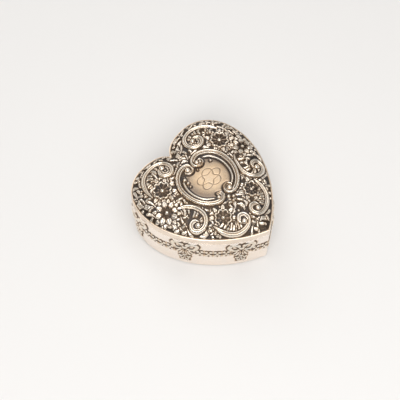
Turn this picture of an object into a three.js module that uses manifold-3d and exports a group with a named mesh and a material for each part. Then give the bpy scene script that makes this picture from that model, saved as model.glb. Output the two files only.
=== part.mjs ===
// A heart-shaped silver trinket box with a lift-off domed lid, in millimetres, +Z up.
// The origin is the middle of the underside, +Y points to the cleft of the heart.
// The lid carries scrolls, rosettes and leaves round a plain panel in a scrolled frame.
// The wall of the base carries a garland of small flowers, hung from ribbon bows.

import * as THREE from "three";
import { mergeVertices } from "three/addons/utils/BufferGeometryUtils.js";
import Module from "manifold-3d";

const wasm = await Module();
wasm.setup();

// The heart seen from above: four points of its right half, with the reach of their tangents.
const HEART = {
  cleft: new THREE.Vector2(0, 26.4),
  lobeTop: new THREE.Vector2(16.8, 33.1),
  side: new THREE.Vector2(37.4, 8.6),
  point: new THREE.Vector2(0, -42.9),
  cleftReach: new THREE.Vector2(2.4, 4.4),
  lobeReachIn: 10.2,
  lobeReachOut: 9.6,
  sideReachUp: 17.3,
  sideReachDown: 18.0,
  pointReach: new THREE.Vector2(22.7, 10.5),
};
const STEPS_PER_HALF = 24;

// Heights above the table.
const SEAM = 27.0;
const SEAM_GAP = 0.3;
const SHOULDER_TOP = 31.3;
const DOME_RISE = 5.9;
const DOME_REACH = 4.9;
const BEZEL_TOP = 29.4;
const BEZEL_FOOT = 24.0;
const BEZEL_SLOPE = 1.5;

// Sheet thicknesses and small roundings.
const WALL = 0.8;
const LID_SHEET = 0.9;
const FLOOR = 0.9;
const FOOT_ROUND = 1.3;
const SHOULDER_INSET = 1.2;
const SHOULDER_ROUND = 1.1;
// Where the wall of the lid bends into its dome, on the inside.
const UNDER_BEND = 1.5;
const UNDER_INSET = 2.4;
const UNDER_DROP = 0.7;
const BEZEL_GAP = 0.3;
const BEZEL = 0.8;

// Relief: how far ornament stands above its ground, and how deep its root goes into the sheet.
const RELIEF = 1.5;
const ROOT = 0.8;

// The right half of the heart as a curve from the cleft to the point.
function halfHeart() {
  const { cleft, lobeTop, side, point } = HEART;
  const shifted = (from, x, y) => new THREE.Vector2(from.x + x, from.y + y);
  const half = new THREE.CurvePath();
  half.add(new THREE.CubicBezierCurve(
    cleft,
    shifted(cleft, HEART.cleftReach.x, HEART.cleftReach.y),
    shifted(lobeTop, -HEART.lobeReachIn, 0),
    lobeTop,
  ));
  half.add(new THREE.CubicBezierCurve(
    lobeTop,
    shifted(lobeTop, HEART.lobeReachOut, 0),
    shifted(side, 0, HEART.sideReachUp),
    side,
  ));
  half.add(new THREE.CubicBezierCurve(
    side,
    shifted(side, 0, -HEART.sideReachDown),
    shifted(point, HEART.pointReach.x, HEART.pointReach.y),
    point,
  ));
  return half;
}

const rightHalf = halfHeart();
const HALF_LENGTH = rightHalf.getLength();

// A point of the outline, by its distance from the heart's point: positive to the right.
function outlineAt(arc) {
  const turns = Math.round(arc / (2 * HALF_LENGTH));
  const along = arc - turns * 2 * HALF_LENGTH;
  const p = rightHalf.getPointAt(1 - Math.min(Math.abs(along) / HALF_LENGTH, 1));
  return new THREE.Vector2(along < 0 ? -p.x : p.x, p.y);
}

// The outward direction of the outline there.
const TANGENT_REACH = 0.4;
function outwardAt(arc) {
  const ahead = outlineAt(arc + TANGENT_REACH);
  const tangent = ahead.sub(outlineAt(arc - TANGENT_REACH)).normalize();
  return new THREE.Vector2(tangent.y, -tangent.x);
}

const RING = 2 * STEPS_PER_HALF;
const outline = [];
const outward = [];
for (let i = 0; i < RING; i++) {
  const arc = (i / STEPS_PER_HALF) * HALF_LENGTH;
  outline.push(outlineAt(arc));
  outward.push(outwardAt(arc));
}

// A smooth distance from the wall: near the wall it is the true one, inside it has no creases.
const WALL_SAMPLES = 240;
const SOFTENING = 0.3;
const samples = [];
for (let i = 0; i < WALL_SAMPLES; i++) {
  samples.push(outlineAt((i / WALL_SAMPLES) * 2 * HALF_LENGTH));
}
function insetOf(x, y) {
  const spacing = (2 * HALF_LENGTH) / WALL_SAMPLES;
  let sum = 0;
  for (const s of samples) {
    sum += spacing / ((x - s.x) ** 2 + (y - s.y) ** 2 + SOFTENING) ** 2;
  }
  return (sum / (Math.PI / 2)) ** (-1 / 3);
}

// The ground of the lid: a pillow dome that rises fast from the shoulder and is nearly flat inside.
function domeHeight(x, y) {
  const inside = Math.max(insetOf(x, y) - SHOULDER_INSET, 0);
  return SHOULDER_TOP + DOME_RISE * (1 - Math.exp(-inside / DOME_REACH));
}

// Solids

function toGeometry(positions, faces) {
  const geometry = new THREE.BufferGeometry();
  geometry.setAttribute("position", new THREE.Float32BufferAttribute(positions.flat(), 3));
  geometry.setIndex(faces.flat());
  return geometry;
}

function solidOf(geometry) {
  const bare = geometry.clone();
  bare.deleteAttribute("normal");
  bare.deleteAttribute("uv");
  const merged = mergeVertices(bare, 1e-5);
  const mesh = new wasm.Mesh({
    numProp: 3,
    vertProperties: merged.attributes.position.array,
    triVerts: new Uint32Array(merged.index.array),
  });
  return new wasm.Manifold(mesh);
}

function geometryOf(solid) {
  const mesh = solid.getMesh();
  const geometry = new THREE.BufferGeometry();
  geometry.setAttribute("position", new THREE.BufferAttribute(mesh.vertProperties, 3));
  geometry.setIndex(new THREE.BufferAttribute(mesh.triVerts, 1));
  geometry.computeVertexNormals();
  return geometry;
}

// Rings of the same count, joined one to the next, with the first and last closed to a middle.
function ringStack(rings, firstMiddle, lastMiddle) {
  const positions = rings.flat();
  const faces = [];
  for (let r = 0; r + 1 < rings.length; r++) {
    for (let i = 0; i < RING; i++) {
      const a = r * RING + i;
      const b = r * RING + ((i + 1) % RING);
      faces.push([a, b, b + RING], [a, b + RING, a + RING]);
    }
  }
  const first = positions.push(firstMiddle) - 1;
  const last = positions.push(lastMiddle) - 1;
  const top = (rings.length - 1) * RING;
  for (let i = 0; i < RING; i++) {
    const next = (i + 1) % RING;
    faces.push([first, next, i], [last, top + i, top + next]);
  }
  return toGeometry(positions, faces);
}

// The outline moved inwards by a sheet's thickness, at one height.
function insetRing(inset, z) {
  return outline.map((p, i) => [p.x - outward[i].x * inset, p.y - outward[i].y * inset, z]);
}

// The outline drawn in towards the middle of the lid, on the dome lowered by a sheet's thickness.
const MIDDLE = new THREE.Vector2(0, -1);
function domeRing(share, lowered) {
  return outline.map((p) => {
    const x = MIDDLE.x + (p.x - MIDDLE.x) * share;
    const y = MIDDLE.y + (p.y - MIDDLE.y) * share;
    return [x, y, domeHeight(x, y) - lowered];
  });
}

function domeMiddle(lowered) {
  return [MIDDLE.x, MIDDLE.y, domeHeight(MIDDLE.x, MIDDLE.y) - lowered];
}

// Flat ornaments: x and y lie in the sheet, z stands up from it, and the root lies below it.

// A ridge with sloping sides along a path, which narrows and sinks towards its ends.
// The tip and the crest are shares of its full width.
const TIP = 0.3;
const CREST = 0.42;
function ridge(path, width, height, taper = 0.25) {
  const positions = [];
  const faces = [];
  const count = path.length;
  path.forEach((p, i) => {
    const before = path[Math.max(i - 1, 0)];
    const after = path[Math.min(i + 1, count - 1)];
    const side = new THREE.Vector2(before.y - after.y, after.x - before.x).normalize();
    const share = i / (count - 1);
    const swell = Math.min(1, TIP + ((1 - TIP) * Math.min(share, 1 - share)) / taper);
    const foot = (width / 2) * swell;
    const crest = foot * CREST;
    positions.push(
      [p.x - side.x * foot, p.y - side.y * foot, -ROOT],
      [p.x + side.x * foot, p.y + side.y * foot, -ROOT],
      [p.x + side.x * crest, p.y + side.y * crest, height * swell],
      [p.x - side.x * crest, p.y - side.y * crest, height * swell],
    );
  });
  for (let i = 0; i + 1 < count; i++) {
    for (let k = 0; k < 4; k++) {
      const a = i * 4 + k;
      const b = i * 4 + ((k + 1) % 4);
      faces.push([a, b, b + 4], [a, b + 4, a + 4]);
    }
  }
  const end = (count - 1) * 4;
  faces.push([0, 2, 1], [0, 3, 2], [end, end + 1, end + 2], [end, end + 2, end + 3]);
  return toGeometry(positions, faces);
}

// Flowers from the middle outwards: the share of the radius, the height, and the wave of petals.
const CUPPED_FLOWER = [
  { share: 0.2, up: 0.75, wave: 0 },
  { share: 0.42, up: 0.2, wave: 0 },
  { share: 0.78, up: 1.0, wave: 0.16 },
  { share: 1.0, up: 0, wave: 0.12 },
];
const SMALL_FLOWER = [
  { share: 0.62, up: 0.9, wave: 0.12 },
  { share: 1.0, up: 0, wave: 0.12 },
];
const KNOB = 0.95;
function flower(profile, radius, petals, height) {
  const around = petals * 2;
  const positions = [];
  for (const { share, up, wave } of profile) {
    for (let i = 0; i < around; i++) {
      const angle = (i / around) * 2 * Math.PI;
      const petal = i % 2 === 0 ? 1 : -1;
      const r = radius * (share + wave * petal * 0.5);
      const z = up === 0 ? -ROOT : height * up * (1 + wave * petal);
      positions.push([r * Math.cos(angle), r * Math.sin(angle), z]);
    }
  }
  const faces = [];
  for (let k = 0; k + 1 < profile.length; k++) {
    for (let i = 0; i < around; i++) {
      const a = k * around + i;
      const b = k * around + ((i + 1) % around);
      faces.push([a, a + around, b + around], [a, b + around, b]);
    }
  }
  const knob = positions.push([0, 0, height * KNOB]) - 1;
  const root = positions.push([0, 0, -ROOT]) - 1;
  const rim = (profile.length - 1) * around;
  for (let i = 0; i < around; i++) {
    const next = (i + 1) % around;
    faces.push([knob, i, next], [root, rim + next, rim + i]);
  }
  return toGeometry(positions, faces);
}

// A leaf or a small bud: pointed at both ends, highest in the middle, tip towards +x.
function leaf(length, width, height) {
  const rim = [[-0.5, 0], [0, -0.5], [0.5, 0], [0, 0.5]];
  const positions = rim.map(([u, v]) => [u * length, v * width, -ROOT]);
  const crest = positions.push([0, 0, height]) - 1;
  const faces = [[0, 1, crest], [1, 2, crest], [2, 3, crest], [3, 0, crest], [0, 2, 1], [0, 3, 2]];
  return toGeometry(positions, faces);
}

// Lays a flat ornament on the dome of the lid.
function onDome(geometry, x = 0, y = 0, angle = 0) {
  const laid = geometry.clone();
  const position = laid.attributes.position;
  const cos = Math.cos(angle);
  const sin = Math.sin(angle);
  for (let i = 0; i < position.count; i++) {
    const px = x + position.getX(i) * cos - position.getY(i) * sin;
    const py = y + position.getX(i) * sin + position.getY(i) * cos;
    position.setXYZ(i, px, py, domeHeight(px, py) + position.getZ(i));
  }
  return laid;
}

// Lays a flat ornament on the outside of the wall: x runs along the outline, y is up.
function onWall(geometry, arc, z, angle = 0) {
  const laid = geometry.clone();
  const position = laid.attributes.position;
  const cos = Math.cos(angle);
  const sin = Math.sin(angle);
  for (let i = 0; i < position.count; i++) {
    const along = arc + position.getX(i) * cos - position.getY(i) * sin;
    const up = z + position.getX(i) * sin + position.getY(i) * cos;
    const p = outlineAt(along);
    const n = outwardAt(along);
    const lift = position.getZ(i);
    position.setXYZ(i, p.x + n.x * lift, p.y + n.y * lift, up);
  }
  return laid;
}

// A stem through a few places that runs into a spiral: the last place lies on its outer turn.
// Positive turns run anticlockwise, and the spiral closes to a third of its first radius.
const CURL_STEPS = 7;
const STEM_STEP = 4.4;
const CURL_CLOSING = 0.68;
function scrollPath(stem, curl, turns) {
  const places = stem.map(([x, y]) => new THREE.Vector3(x, y, 0));
  const curve = new THREE.CatmullRomCurve3(places);
  const count = Math.max(Math.round(curve.getLength() / STEM_STEP), 3);
  const path = curve.getSpacedPoints(count).map((p) => new THREE.Vector2(p.x, p.y));
  const last = path[path.length - 1];
  const centre = new THREE.Vector2(curl[0], curl[1]);
  const radius = last.distanceTo(centre);
  const start = Math.atan2(last.y - centre.y, last.x - centre.x);
  const arcs = Math.round(Math.abs(turns) * CURL_STEPS);
  for (let i = 1; i <= arcs; i++) {
    const share = i / arcs;
    const angle = start + turns * 2 * Math.PI * share;
    const r = radius * (1 - CURL_CLOSING * share);
    path.push(new THREE.Vector2(centre.x + r * Math.cos(angle), centre.y + r * Math.sin(angle)));
  }
  return path;
}

// The ornament of the lid

const SCROLL_WIDTH = 2.7;
const SCROLLS = [
  { stem: [[-18.6, -21], [-17, -28], [-12.5, -32.6], [-5.2, -34]], curl: [-5.2, -30], turns: 0.95 },
  { stem: [[16.2, -19.5], [16, -26.5], [11.5, -32.4], [3.4, -35]], curl: [3.2, -30.7], turns: -0.95 },
  { stem: [[-22.5, -0.5], [-17.2, -6], [-17, -13], [-23.3, -17.4]], curl: [-24.3, -13.4], turns: -0.95 },
  { stem: [[19.5, -2.5], [15.5, -10], [17.5, -18], [24.3, -18.6]], curl: [24.8, -14], turns: 0.95 },
  { stem: [[-26.5, 16], [-23, 25], [-15, 28], [-8.2, 25.4]], curl: [-10.8, 21.4], turns: -1.0 },
  { stem: [[28, 18], [23, 25.5], [15.5, 27.6], [9, 25.3]], curl: [12.6, 21.4], turns: 1.0 },
];

// The frame of the plain panel: two large C-scrolls that meet at the top and at the bottom.
const FRAME_WIDTH = 3.2;
const FRAME_HEIGHT = RELIEF * 1.2;
const FRAME = [
  {
    stem: [[2.2, 13.6], [9.5, 14.6], [16.4, 7.5], [16.8, -2], [11.5, -11.8], [4.2, -15.2]],
    curl: [3.9, -12.2],
    turns: -0.7,
  },
  {
    stem: [[-0.4, 13.8], [-7.5, 14.4], [-14, 8.5], [-15.3, -1], [-11.8, -9.8], [-6, -14.4]],
    curl: [-5.2, -11.4],
    turns: 0.5,
  },
];
const FRAME_CURLS = [
  { start: [-0.4, 13.8], curl: [-3.3, 11.3], turns: -0.9 },
  { start: [2.2, 13.6], curl: [4.8, 11.2], turns: 0.9 },
];
// The thin inner line of the frame, as an oval round the panel.
const INNER_LINE = { x: 0.4, y: -1.2, wide: 12.4, high: 10.2, width: 1.5, height: RELIEF * 0.6 };
const INNER_LINE_STEPS = 20;
const INNER_LINE_FROM = 0.6 * Math.PI;
const INNER_LINE_TURN = 1.86 * Math.PI;

const ROSETTES = [
  { x: -21, y: 13.7, radius: 5.6 },
  { x: 23, y: 10.8, radius: 5.4 },
  { x: -28.6, y: 3, radius: 5.0 },
  { x: 28.2, y: -1, radius: 4.3 },
  { x: -12, y: -21.2, radius: 4.8 },
  { x: 10.8, y: -21.6, radius: 4.9 },
];
const ROSETTE_PETALS = 7;

// Leaves, each by its middle, the way its tip points in degrees, and its visible length.
const LEAVES = [
  [-4, 18.5, 120, 6], [0.3, 20, 90, 6.5], [4.2, 18.8, 60, 6],
  [-4.5, -19.5, 235, 5], [-0.6, -20, 270, 6.5], [3.4, -19.5, 305, 5],
  [-0.6, -35.6, 270, 4.4], [-16.8, 6.5, 200, 5], [19.6, 4.2, 330, 5],
  [-20.5, 21.5, 70, 6], [20.5, 20.3, 110, 6], [-29.4, 13.6, 80, 6], [29.4, 7.5, 70, 5],
  [-24.5, -4.8, 250, 6], [22, -7, 280, 5.5], [-10.8, -28, 200, 5.5], [9, -28, 320, 5.5],
  [-28.6, -5.5, 250, 5], [-21, -21, 150, 5], [19.4, -21.8, 30, 4.6],
  [-14.5, 14.5, 30, 4.5], [15, 13, 150, 4.5], [-17.8, -18.2, 60, 4], [15, -15.5, 110, 4],
];
const LEAF_WIDTH = 4.6;
const LEAF_ROOT_SPREAD = 1.5;

function lidOrnaments() {
  const parts = [];
  for (const { stem, curl, turns } of SCROLLS) {
    parts.push(onDome(ridge(scrollPath(stem, curl, turns), SCROLL_WIDTH, RELIEF)));
  }
  for (const { stem, curl, turns } of FRAME) {
    const path = scrollPath(stem, curl, turns);
    parts.push(onDome(ridge(path, FRAME_WIDTH, FRAME_HEIGHT, 0.12)));
  }
  for (const { start, curl, turns } of FRAME_CURLS) {
    const path = scrollPath([[start[0] * 0.5, start[1]], start], curl, turns);
    parts.push(onDome(ridge(path, SCROLL_WIDTH, FRAME_HEIGHT, 0.2)));
  }
  const oval = [];
  for (let i = 0; i <= INNER_LINE_STEPS; i++) {
    const angle = INNER_LINE_FROM + (INNER_LINE_TURN * i) / INNER_LINE_STEPS;
    oval.push(new THREE.Vector2(
      INNER_LINE.x + INNER_LINE.wide * Math.cos(angle),
      INNER_LINE.y + INNER_LINE.high * Math.sin(angle),
    ));
  }
  parts.push(onDome(ridge(oval, INNER_LINE.width, INNER_LINE.height, 0.1)));
  for (const { x, y, radius } of ROSETTES) {
    parts.push(onDome(flower(CUPPED_FLOWER, radius, ROSETTE_PETALS, RELIEF), x, y));
  }
  for (const [x, y, degrees, length] of LEAVES) {
    const angle = THREE.MathUtils.degToRad(degrees);
    parts.push(onDome(leaf(length * LEAF_ROOT_SPREAD, LEAF_WIDTH, RELIEF), x, y, angle));
  }
  return parts;
}

// The ornament of the wall

const BOWS = 8;
const BOW_SPACING = (2 * HALF_LENGTH) / BOWS;
const BOW_HEIGHT = 20.6;
const GARLAND_HEIGHT = 18.0;
const GARLAND_SAG = 1.6;
const GARLAND_LIFT = 1.0;
const FLOWERS_PER_SWAG = 4;
const FLOWER_PITCH = 4.3;
const FLOWER_RADIUS = 3.1;
// The garland stops short of the narrow cleft, where its two sides would meet.
const CLEFT_CLEAR = 4.0;

// One loop of a bow, seen from its knot, and the leaves that hang from the knot.
const BOW_LOOP = [[0.6, 0.6], [3.4, 3.4], [6.4, 2.8], [5.4, -0.4], [1.2, -0.8]];
const RIBBON = 2.3;
const KNOT = { length: 4.4, width: 4.0, height: GARLAND_LIFT * 1.2 };
const TAIL = { z: 14.8, length: 13.0, width: 4.4 };
const DROP = { z: 7.2, length: 8.0, width: 4.4 };
const SIDE_DROP = { z: 9.2, length: 7.6, width: 4.4, aside: 2.3, lean: 0.8 };
const DOWN = -Math.PI / 2;

function garlandHeight(arc) {
  const fromBow = arc / BOW_SPACING - 0.5;
  const share = fromBow - Math.floor(fromBow);
  return GARLAND_HEIGHT - GARLAND_SAG * 4 * share * (1 - share);
}

// A bow: two loops of ribbon, a knot, and two short tails that end in a sprig.
function bow(arc) {
  const parts = [];
  for (const side of [-1, 1]) {
    const loopPath = BOW_LOOP.map(([x, y]) => new THREE.Vector2(side * x, y));
    parts.push(onWall(ridge(loopPath, RIBBON, GARLAND_LIFT, 0.1), arc, BOW_HEIGHT));
    const drop = leaf(SIDE_DROP.length, SIDE_DROP.width, GARLAND_LIFT);
    parts.push(onWall(drop, arc + side * SIDE_DROP.aside, SIDE_DROP.z, DOWN + side * SIDE_DROP.lean));
  }
  parts.push(onWall(leaf(KNOT.length, KNOT.width, KNOT.height), arc, BOW_HEIGHT));
  parts.push(onWall(leaf(TAIL.length, TAIL.width, GARLAND_LIFT), arc, TAIL.z, DOWN));
  parts.push(onWall(leaf(DROP.length, DROP.width, GARLAND_LIFT), arc, DROP.z, DOWN));
  return parts;
}

function wallOrnaments() {
  const parts = [];
  for (let b = 0; b < BOWS; b++) {
    const arc = (b + 0.5) * BOW_SPACING;
    parts.push(...bow(arc));
    for (let f = 0; f < FLOWERS_PER_SWAG; f++) {
      const at = arc + BOW_SPACING / 2 + (f - (FLOWERS_PER_SWAG - 1) / 2) * FLOWER_PITCH;
      const fromCleft = Math.abs(at - Math.sign(at) * HALF_LENGTH);
      if (fromCleft > CLEFT_CLEAR) {
        const bloom = flower(SMALL_FLOWER, FLOWER_RADIUS, 4, GARLAND_LIFT);
        parts.push(onWall(bloom, at, garlandHeight(at)));
      }
    }
  }
  return parts;
}

// The lid: a plain rim and rounded shoulder, then the ornamented dome, hollow underneath.
function makeLid() {
  const foot = SEAM + SEAM_GAP / 2;
  const outer = solidOf(ringStack(
    [
      insetRing(0, foot),
      insetRing(0, SHOULDER_TOP - SHOULDER_ROUND),
      insetRing(SHOULDER_ROUND * 0.32, SHOULDER_TOP - SHOULDER_ROUND * 0.32),
      insetRing(SHOULDER_INSET, SHOULDER_TOP),
      domeRing(0.88, 0),
      domeRing(0.72, 0),
      domeRing(0.4, 0),
    ],
    [MIDDLE.x, MIDDLE.y, foot],
    domeMiddle(0),
  ));
  const below = foot - 1;
  const hollow = solidOf(ringStack(
    [
      insetRing(WALL, below),
      insetRing(WALL, SHOULDER_TOP - UNDER_BEND),
      insetRing(UNDER_INSET, SHOULDER_TOP - UNDER_DROP),
      domeRing(0.84, LID_SHEET),
      domeRing(0.6, LID_SHEET),
    ],
    [MIDDLE.x, MIDDLE.y, below],
    domeMiddle(LID_SHEET),
  ));
  let lid = outer;
  for (const ornament of lidOrnaments()) {
    lid = lid.add(solidOf(ornament));
  }
  return lid.subtract(hollow);
}

// The base: floor and wall in one, with a bezel inside the seam that the lid slips over.
function makeBase() {
  const rim = SEAM - SEAM_GAP / 2;
  const bezelOut = WALL + BEZEL_GAP;
  const outer = solidOf(ringStack(
    [
      insetRing(FOOT_ROUND, 0),
      insetRing(FOOT_ROUND * 0.3, FOOT_ROUND * 0.3),
      insetRing(0, FOOT_ROUND),
      insetRing(0, rim),
      insetRing(bezelOut, rim),
      insetRing(bezelOut, BEZEL_TOP),
    ],
    [MIDDLE.x, MIDDLE.y, 0],
    [MIDDLE.x, MIDDLE.y, BEZEL_TOP],
  ));
  const hollow = solidOf(ringStack(
    [
      insetRing(WALL + FOOT_ROUND, FLOOR),
      insetRing(WALL, FLOOR + FOOT_ROUND),
      insetRing(WALL, BEZEL_FOOT),
      insetRing(bezelOut + BEZEL, BEZEL_FOOT + BEZEL_SLOPE),
      insetRing(bezelOut + BEZEL, BEZEL_TOP + 1),
    ],
    [MIDDLE.x, MIDDLE.y, FLOOR],
    [MIDDLE.x, MIDDLE.y, BEZEL_TOP + 1],
  ));
  let base = outer;
  for (const ornament of wallOrnaments()) {
    base = base.add(solidOf(ornament));
  }
  return base.subtract(hollow);
}

const silver = { color: 0xe4d8c8, metalness: 1.0, roughness: 0.28 };
const baseMesh = new THREE.Mesh(
  geometryOf(makeBase()),
  new THREE.MeshStandardMaterial(silver),
);
baseMesh.name = "box_base";
const lidMesh = new THREE.Mesh(
  geometryOf(makeLid()),
  new THREE.MeshStandardMaterial(silver),
);
lidMesh.name = "lid";

// The box's own middle is moved to the origin, so that it stands on the middle of its underside.
const box = new THREE.Group();
box.add(baseMesh, lidMesh);
const size = new THREE.Box3().setFromObject(box);
box.position.set(-(size.min.x + size.max.x) / 2, -(size.min.y + size.max.y) / 2, 0);

export default box;
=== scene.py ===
import math
import random

import bmesh
import bpy
import numpy as np
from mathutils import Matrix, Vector, geometry


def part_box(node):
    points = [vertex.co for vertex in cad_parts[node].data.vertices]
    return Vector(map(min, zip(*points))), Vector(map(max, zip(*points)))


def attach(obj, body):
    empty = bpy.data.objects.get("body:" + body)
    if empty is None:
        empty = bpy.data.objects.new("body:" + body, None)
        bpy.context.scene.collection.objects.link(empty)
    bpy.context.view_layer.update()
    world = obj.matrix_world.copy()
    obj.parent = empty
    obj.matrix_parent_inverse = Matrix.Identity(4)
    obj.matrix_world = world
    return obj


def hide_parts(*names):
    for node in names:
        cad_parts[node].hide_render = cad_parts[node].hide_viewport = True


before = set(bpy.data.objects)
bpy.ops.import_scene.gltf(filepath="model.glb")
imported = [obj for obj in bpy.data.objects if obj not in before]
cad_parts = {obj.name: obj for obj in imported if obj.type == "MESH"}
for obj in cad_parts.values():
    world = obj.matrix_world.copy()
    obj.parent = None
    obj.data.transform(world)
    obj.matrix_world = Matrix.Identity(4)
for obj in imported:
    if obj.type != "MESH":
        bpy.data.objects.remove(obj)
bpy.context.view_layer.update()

# The lid.
# One sheet of sterling silver, raised and chased from both sides: scrolls, rosettes and leaves
# round a plain panel. It slips over the bezel of the base, and its recesses were oxidised dark.

MM = 0.001

# The heart seen from above, in millimetres from a point below the cleft.
CLEFT = np.array([0.0, 26.4])
LOBE_TOP = np.array([16.8, 33.1])
SIDE = np.array([37.4, 8.6])
POINT = np.array([0.0, -42.9])
RIGHT_HALF = [
    [CLEFT, CLEFT + [2.4, 4.4], LOBE_TOP - [10.2, 0.0], LOBE_TOP],
    [LOBE_TOP, LOBE_TOP + [9.6, 0.0], SIDE + [0.0, 17.3], SIDE],
    [SIDE, SIDE - [0.0, 18.0], POINT + [22.7, 10.5], POINT],
]
# The frame's origin lies under the middle of the box, this far from the point below the cleft.
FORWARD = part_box("lid")[0][1] / MM - POINT[1]


def bezier(corners, count):
    """Places along a cubic curve, its end left out."""
    t = np.linspace(0.0, 1.0, count, endpoint=False)[:, None]
    a, b, c, d = corners
    return (1 - t) ** 3 * a + 3 * (1 - t) ** 2 * t * b + 3 * (1 - t) * t**2 * c + t**3 * d


half_line = np.vstack([bezier(corners, 400) for corners in RIGHT_HALF] + [POINT[None, :]])[::-1]
half_steps = np.hypot(*np.diff(half_line, axis=0).T)
half_along = np.concatenate([[0.0], np.cumsum(half_steps)])
HALF_LENGTH = half_along[-1]


def right_place(arc):
    """Places on the right half of the outline, by their distance from the heart's point."""
    x = np.interp(arc, half_along, half_line[:, 0])
    y = np.interp(arc, half_along, half_line[:, 1])
    return np.stack([x, y], axis=-1)


def right_outward(arc):
    """The way out of the heart at those places."""
    ahead = right_place(np.minimum(arc + 0.3, HALF_LENGTH))
    behind = right_place(np.maximum(arc - 0.3, 0.0))
    way = ahead - behind
    way /= np.hypot(way[..., 0], way[..., 1])[..., None]
    return np.stack([way[..., 1], -way[..., 0]], axis=-1)


def heart_ring(inset, count):
    """The outline moved inwards, as 2 x count places that start at the point and run up the right."""
    arc = np.linspace(0.0, HALF_LENGTH, count + 1)
    depth = np.broadcast_to(inset, arc.shape)
    line = right_place(arc) - right_outward(arc) * depth[:, None]
    crossed = np.nonzero(line[: count // 2, 0] < 0)[0]
    if len(crossed):
        k = crossed[-1]
        share = line[k, 0] / (line[k, 0] - line[k + 1, 0])
        line[: k + 1, 1] = line[k, 1] + share * (line[k + 1, 1] - line[k, 1])
        line[: k + 1, 0] = 0.0
    line[0, 0] = 0.0
    line[-1] = CLEFT - [0.0, depth[-1]]
    left = line[1:-1][::-1] * [-1.0, 1.0]
    return np.vstack([line, left])


# The ground of the lid: a pillow that rises fast from the shoulder and is nearly flat inside.
SHOULDER_TOP = 31.3
SHOULDER_INSET = 1.2
DOME_RISE = 5.9
DOME_REACH = 4.9
wall_samples = heart_ring(0.0, 120)


def inset_of(x, y):
    """A smooth distance from the wall, true near the wall and without creases inside."""
    spacing = 2 * HALF_LENGTH / len(wall_samples)
    total = np.zeros_like(x)
    for sx, sy in wall_samples:
        total += spacing / ((x - sx) ** 2 + (y - sy) ** 2 + 0.3) ** 2
    return (total / (math.pi / 2)) ** (-1 / 3)


def dome_height(x, y):
    inside = np.maximum(inset_of(x, y) - SHOULDER_INSET, 0.0)
    return SHOULDER_TOP + DOME_RISE * (1 - np.exp(-inside / DOME_REACH))


class Sheet:
    """A flat sheet of metal on a square net of places, and how far its ornament stands up."""

    def __init__(self, x_from, x_to, y_from, y_to, pitch):
        self.pitch = pitch
        self.x_line = np.arange(x_from, x_to, pitch)
        self.y_line = np.arange(y_from, y_to, pitch)
        self.x, self.y = np.meshgrid(self.x_line, self.y_line)
        self.relief = np.zeros_like(self.x)

    def window(self, x_from, x_to, y_from, y_to):
        cols = slice(
            max(int((x_from - self.x_line[0]) / self.pitch), 0),
            max(int((x_to - self.x_line[0]) / self.pitch) + 2, 0),
        )
        rows = slice(
            max(int((y_from - self.y_line[0]) / self.pitch), 0),
            max(int((y_to - self.y_line[0]) / self.pitch) + 2, 0),
        )
        return rows, cols

    def lay(self, part, edge, height, trench=0.45):
        """Lays a form over what is there. Edge is the distance outside its rim, where it is cut in."""
        ground = self.relief[part]
        cut = 1 - 0.85 * np.exp(-((np.maximum(edge, 0.0) / trench) ** 2))
        self.relief[part] = np.where(edge < 0, height, ground * cut)

    def at(self, x, y):
        """The relief between the places of the net."""
        u = np.clip((x - self.x_line[0]) / self.pitch, 0, len(self.x_line) - 1.001)
        v = np.clip((y - self.y_line[0]) / self.pitch, 0, len(self.y_line) - 1.001)
        i, j = u.astype(int), v.astype(int)
        fu, fv = u - i, v - j
        low = self.relief[j, i] * (1 - fu) + self.relief[j, i + 1] * fu
        high = self.relief[j + 1, i] * (1 - fu) + self.relief[j + 1, i + 1] * fu
        return low * (1 - fv) + high * fv


def smooth_line(places, step=0.5):
    """A smooth line through a few places."""
    p = np.array(places, dtype=float)
    p = np.vstack([2 * p[0] - p[1], p, 2 * p[-1] - p[-2]])
    line = []
    for k in range(1, len(p) - 2):
        a, b, c, d = p[k - 1 : k + 3]
        count = max(int(np.hypot(*(c - b)) / step), 1)
        t = np.linspace(0, 1, count, endpoint=False)[:, None]
        square = (2 * a - 5 * b + 4 * c - d) * t**2
        cube = (3 * b - a - 3 * c + d) * t**3
        line.append(0.5 * (2 * b + (c - a) * t + square + cube))
    return np.vstack(line + [p[-2][None, :]])


def beside(sheet, line, reach):
    """The window round a line, with the distance to its left and the share of its length there."""
    x_from, y_from = line.min(axis=0) - reach
    x_to, y_to = line.max(axis=0) + reach
    part = sheet.window(x_from, x_to, y_from, y_to)
    x, y = sheet.x[part], sheet.y[part]
    nearest = np.full(x.shape, 1e9)
    aside = np.zeros_like(x)
    along = np.zeros_like(x)
    gone = 0.0
    for (ax, ay), (bx, by) in zip(line[:-1], line[1:]):
        dx, dy = bx - ax, by - ay
        length = math.hypot(dx, dy)
        if length < 1e-9:
            continue
        t = np.clip(((x - ax) * dx + (y - ay) * dy) / length**2, 0, 1)
        ex, ey = x - ax - t * dx, y - ay - t * dy
        far = ex * ex + ey * ey
        closer = far < nearest
        nearest = np.where(closer, far, nearest)
        aside = np.where(closer, np.sign(dx * ey - dy * ex), aside)
        along = np.where(closer, gone + t * length, along)
        gone += length
    return part, np.sqrt(nearest) * aside, along / gone


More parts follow.
